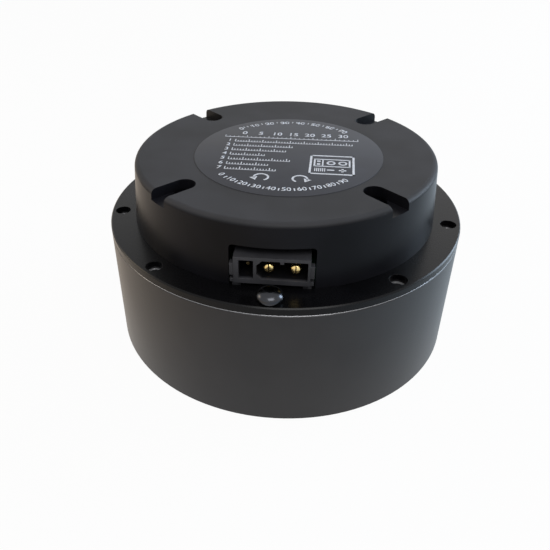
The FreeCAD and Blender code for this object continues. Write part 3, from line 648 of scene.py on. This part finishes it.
class Print:
    """Flat ink shapes laid out in the label's own frame, in millimetres from its middle."""

    def __init__(self):
        deselect()
        bpy.ops.mesh.primitive_plane_add(size=1.0)
        self.sheet = bpy.context.object
        self.sheet.scale = (RULE_LONG * MM, RULE_WIDE * MM, 1)
        self.sheet.location = (0.05 * MM, RULE_Y * MM, 0)
        self.bars = []
        self.words = []

    def bar(self, x, y, long, wide, turn=0.0):
        """A bar with its middle at x, y and its length turned from the x axis."""
        bpy.ops.mesh.primitive_plane_add(
            size=1.0, location=(x * MM, y * MM, 0), rotation=(0, 0, turn)
        )
        bpy.context.object.scale = (long * MM, wide * MM, 1)
        self.bars.append(bpy.context.object)

    def spoke(self, radius, degrees, long, wide):
        """A bar that points at the label's middle, its own middle at the given radius."""
        turn = math.radians(degrees)
        self.bar(radius * math.cos(turn), radius * math.sin(turn), long, wide, turn)

    def arc(self, x, y, radius, first, last, wide):
        """A round line in short straight bars, from one angle in degrees to another."""
        steps = max(4, round(abs(last - first) / 15))
        step = math.radians(last - first) / steps
        for index in range(steps):
            turn = math.radians(first) + (index + 0.5) * step
            place = (x + radius * math.cos(turn), y + radius * math.sin(turn))
            self.bar(*place, 2.1 * radius * math.tan(abs(step) / 2), wide, turn + math.pi / 2)

    def arrow_head(self, x, y, size, turn):
        """A triangle that points the way of turn."""
        bpy.ops.mesh.primitive_circle_add(
            vertices=3, radius=size * MM, fill_type="NGON", location=(x * MM, y * MM, 0),
            rotation=(0, 0, turn - math.pi / 2),
        )
        self.bars.append(bpy.context.object)

    def number(self, text, x, y, size, turn=0.0):
        """A figure about the given height, made when the print is finished."""
        self.words.append((text, x, y, size, turn))

    @staticmethod
    def figure(text, x, y, size, turn):
        """A flat mesh of one figure."""
        deselect()
        bpy.ops.object.text_add()
        letters = bpy.context.object.data
        letters.body = text
        letters.size = size * MM
        letters.align_x = "CENTER"
        letters.align_y = "CENTER"
        letters.resolution_u = 3
        letters.offset = INK_WEIGHT * size * MM
        bpy.ops.object.convert(target="MESH")
        word = bpy.context.object
        word.rotation_euler.z = turn
        word.location = (x * MM, y * MM, 0)
        settle(word)
        return word

    def done(self):
        """Join it all, turn it as the label is turned, and give it the ink's thickness."""
        settle(self.sheet)
        ink = joined([self.sheet, *self.bars, *(self.figure(*word) for word in self.words)])
        ink.rotation_euler.z = LABEL_TURN
        ink.location = (label_middle.x, label_middle.y, label_low.z + FILM_THICK - INK_SINK)
        settle(ink)
        edit()
        face_outward()
        finish_edit()
        for face in ink.data.polygons:
            if face.normal.z < 0:
                face.flip()
        applied(ink, "SOLIDIFY", thickness=INK_THICK + INK_SINK, offset=1.0)
        return handed_over(ink, "label_scale_print", print_grey(), smooth=0)


def ruler(ink):
    """Large numbers over the long rule, with ticks standing on it."""
    for index in range(31):
        tall = 1.0 if index % 5 == 0 else 0.55
        ink.bar(-15 + index, RULE_Y + tall / 2, tall, 0.16, UPRIGHT_TURN)
    for index in range(7):
        ink.number(str(5 * index), -10.8 + 3.75 * index, 10.3, size=2.4)


def dial_number(ink, value, radius, degrees, size, upright):
    """A figure on a dial, its foot (upright 1) or its head (-1) towards the middle."""
    turn = math.radians(degrees)
    x, y = radius * math.cos(turn), radius * math.sin(turn)
    ink.number(str(value), x, y, size, turn - upright * math.pi / 2)


def top_dial(ink):
    """Tens from 0 to 70 along the top edge, with three ticks between."""
    for index in range(29):
        degrees = 133 - 3 * index
        if index % 4:
            ink.spoke(17.9, degrees, 0.75, 0.2)
        else:
            dial_number(ink, 10 * (index // 4), 17.6, degrees, size=2.1, upright=1)


def bottom_dial(ink):
    """Tens from 0 to 90 along the bottom edge, with one tick between."""
    for index in range(10):
        degrees = -136 + 10 * index
        dial_number(ink, 10 * index, 17.3, degrees, size=2.0, upright=-1)
        if index < 9:
            ink.spoke(17.4, degrees + 5.2, 1.0, 0.26)


def rows(ink):
    """Seven numbered graduations, the first almost as long as the rule."""
    lengths = (26.5, 13.6, 12.2, 8.2, 13.4, 9.6, 11.4)
    for row, long in enumerate(lengths):
        y = ROW_TOP - row * ROW_PITCH
        base = y - ROW_DROP
        ink.number(str(row + 1), -13.6, y, size=2.0)
        count = round(long / ROW_STEP)
        for index in range(count):
            tall = 1.25 if index % 5 == 0 else 0.7
            ink.bar(ROW_START + ROW_STEP * index, base + tall / 2, tall, 0.2, UPRIGHT_TURN)
        span = ROW_STEP * (count - 1)
        ink.bar(ROW_START + span / 2, base, span, 0.16)


def socket_picture(ink):
    """A framed drawing of the connector's face, with its plus and minus."""
    x, y, half = 9.6, -5.2, 4.4
    frame_wide, line, stroke = 0.45, 0.35, 0.42
    face_y, face_half_width, face_half_height = y + 0.9, 3.6, 1.7
    sign_y, sign_long = y - 2.5, 1.5
    for side in (-1, 1):
        ink.bar(x + side * half, y, 2 * half + frame_wide, frame_wide, UPRIGHT_TURN)
        ink.bar(x, y + side * half, 2 * half + frame_wide, frame_wide)
        ink.bar(x + side * face_half_width, face_y, 2 * face_half_height, line, UPRIGHT_TURN)
        ink.bar(x, face_y + side * face_half_height, 2 * face_half_width + line, line)
    ink.bar(x - 1.9, face_y, 2 * face_half_height, 0.3, UPRIGHT_TURN)
    for step in (-0.7, 0.7):
        ink.bar(x - 2.75, face_y + step, 0.7, 0.7)
    for contact in (-0.2, 2.2):
        ink.arc(x + contact, face_y, 0.72, 0, 360, stroke)
        ink.bar(x + contact, sign_y, sign_long, stroke)
    ink.bar(x + 2.2, sign_y, sign_long, stroke, UPRIGHT_TURN)
    for step in range(6):
        ink.bar(x - 3.4 + 0.4 * step, sign_y, sign_long, 0.2, UPRIGHT_TURN)


def turning_arrows(ink):
    """One round arrow each way."""
    y, radius = -12.4, 1.45
    for x, way in ((-4.3, 1), (3.5, -1)):
        first, last = (-60, 200) if way > 0 else (240, -20)
        ink.arc(x, y, radius, first, last, 0.42)
        turn = math.radians(last)
        tip = turn + way * math.pi / 2
        end = (x + radius * math.cos(turn), y + radius * math.sin(turn))
        ink.arrow_head(*end, size=0.95, turn=tip)


def label_print():
    """The whole print, in pale ink."""
    ink = Print()
    ruler(ink)
    top_dial(ink)
    bottom_dial(ink)
    rows(ink)
    socket_picture(ink)
    turning_arrows(ink)
    return ink.done()


dome_screws()
cap_screws()
power_pins()
label_disc()
label_print()


# ---- Stage, light and camera ----
FLOOR_SIZE = 30.0
FLOOR_GAP = 0.05 * MM  # below the housing's front rim
FLOOR_WHITE = 0.96
TINT_REACH = 70 * MM  # from the middle to where the floor's tint is full
# Name, place, size, power and colour.
LAMPS = (
    ("softbox_back", (0.14, 0.50, 0.50), (0.5, 0.4), 0.3, (1.0, 1.0, 1.0)),
    ("softbox_front", (0.10, -0.36, 0.50), (0.4, 0.3), 1.7, (1.0, 1.0, 1.0)),
    ("softbox_right", (0.50, 0.22, 0.20), (0.3, 0.3), 3.2, (0.66, 0.82, 1.0)),
    ("softbox_left", (-0.50, 0.05, 0.22), (0.2, 0.2), 0.5, (1.0, 0.82, 0.60)),
)
WHITE = (1.0, 1.0, 1.0)
WARM_SIDE = (1.0, 0.86, 0.72)
COOL_SIDE = (0.76, 0.89, 1.0)
SKY_LIGHT = 0.35


def stage_floor():
    """A floor that takes the object's shadow, shows white, and is tinted a little in gloss."""
    deselect()
    bpy.ops.mesh.primitive_plane_add(size=FLOOR_SIZE, location=(0, 0, housing_low.z - FLOOR_GAP))
    floor = bpy.context.object
    floor.name = "floor"
    finish = Finish(
        "floor_white", Base_Color=(0.6, 0.6, 0.6), Roughness=0.9, Specular_IOR_Level=0.0
    )
    path = finish.node("ShaderNodeLightPath", {}, {}).socket.node.outputs
    names = ("Is Camera Ray", "Is Glossy Ray", "Is Transmission Ray")
    camera, glossy, clear = (Value(finish, path[name]) for name in names)
    x, _, _ = finish.axes()
    cool = finish.blend(x.step(0.0, TINT_REACH), WHITE, COOL_SIDE)
    tinted = finish.blend(x.step(-TINT_REACH, 0.0), WARM_SIDE, cool)
    color = finish.blend(camera, tinted, WHITE)
    glow = finish.node("ShaderNodeEmission", {}, {"Color": color, "Strength": 1.0})
    seen = (camera + glossy + clear) * FLOOR_WHITE
    mix = finish.node("ShaderNodeMixShader", {}, {0: seen, 2: glow})
    finish.tree.links.new(finish.shader.outputs[0], mix.socket.node.inputs[1])
    finish.tree.links.new(mix.socket, finish.tree.nodes["Material Output"].inputs["Surface"])
    floor.data.materials.append(finish.material)


def softbox(name, place, size, power, color):
    """A flat lamp that faces the cap."""
    lamp = bpy.data.lights.new(name, "AREA")
    lamp.shape = "RECTANGLE"
    lamp.size, lamp.size_y = size
    lamp.energy = power
    lamp.color = color
    holder = bpy.data.objects.new(name, lamp)
    holder.location = place
    aim = Vector((0, 0, cap_z)) - Vector(place)
    holder.rotation_euler = aim.to_track_quat("-Z", "Y").to_euler()
    bpy.context.scene.collection.objects.link(holder)


def studio_light():
    """A white world, weaker for plain light than for reflections, and the lamps."""
    world = bpy.data.worlds.new("studio")
    bpy.context.scene.world = world
    world.use_nodes = True
    tree = world.node_tree
    background = tree.nodes["Background"]
    background.inputs["Color"].default_value = (1.0, 1.0, 1.0, 1.0)
    path = tree.nodes.new("ShaderNodeLightPath")
    level = tree.nodes.new("ShaderNodeMapRange")
    level.inputs["To Min"].default_value = 1.0
    level.inputs["To Max"].default_value = SKY_LIGHT
    tree.links.new(path.outputs["Is Diffuse Ray"], level.inputs["Value"])
    tree.links.new(level.outputs[0], background.inputs["Strength"])
    for lamp in LAMPS:
        softbox(*lamp)


# The camera stands a little to the left of the connector's axis and looks down at the cap.
ELEVATION = math.radians(37.712)
DISTANCE = 155.333 * MM
PAN, TILT, ROLL = math.radians(4.794), math.radians(-3.784), math.radians(1.842)
TURN = math.radians(2.75)
LENS = 39.08625
SENSOR = 36.0
SHIFT = (0.0807309, -0.0264545)
NEAREST = 10 * MM


def place_camera():
    """The camera, with its small turns about its own axes and its shifted lens."""
    back = Vector((0, -math.cos(ELEVATION), math.sin(ELEVATION)))
    up = Vector((0, math.sin(ELEVATION), math.cos(ELEVATION)))
    upright = Matrix((Vector((1, 0, 0)), up, back))
    pan = Matrix.Rotation(-PAN, 3, "Y")
    tilt = Matrix.Rotation(TILT, 3, "X")
    roll = Matrix.Rotation(-ROLL, 3, "Z")
    turned = roll @ tilt @ pan @ upright
    about = Matrix.Rotation(TURN, 3, "Z")
    camera = bpy.data.cameras.new("camera")
    camera.sensor_width = SENSOR
    camera.lens = LENS
    camera.shift_x, camera.shift_y = SHIFT
    camera.clip_start = NEAREST
    holder = bpy.data.objects.new("camera", camera)
    pose = (about @ turned.transposed()).to_4x4()
    pose.translation = about @ (back * DISTANCE) + Vector((0, 0, housing_low.z))
    holder.matrix_world = pose
    bpy.context.scene.collection.objects.link(holder)
    bpy.context.scene.camera = holder


stage_floor()
studio_light()
place_camera()
bpy.context.scene.view_settings.view_transform = "Standard"
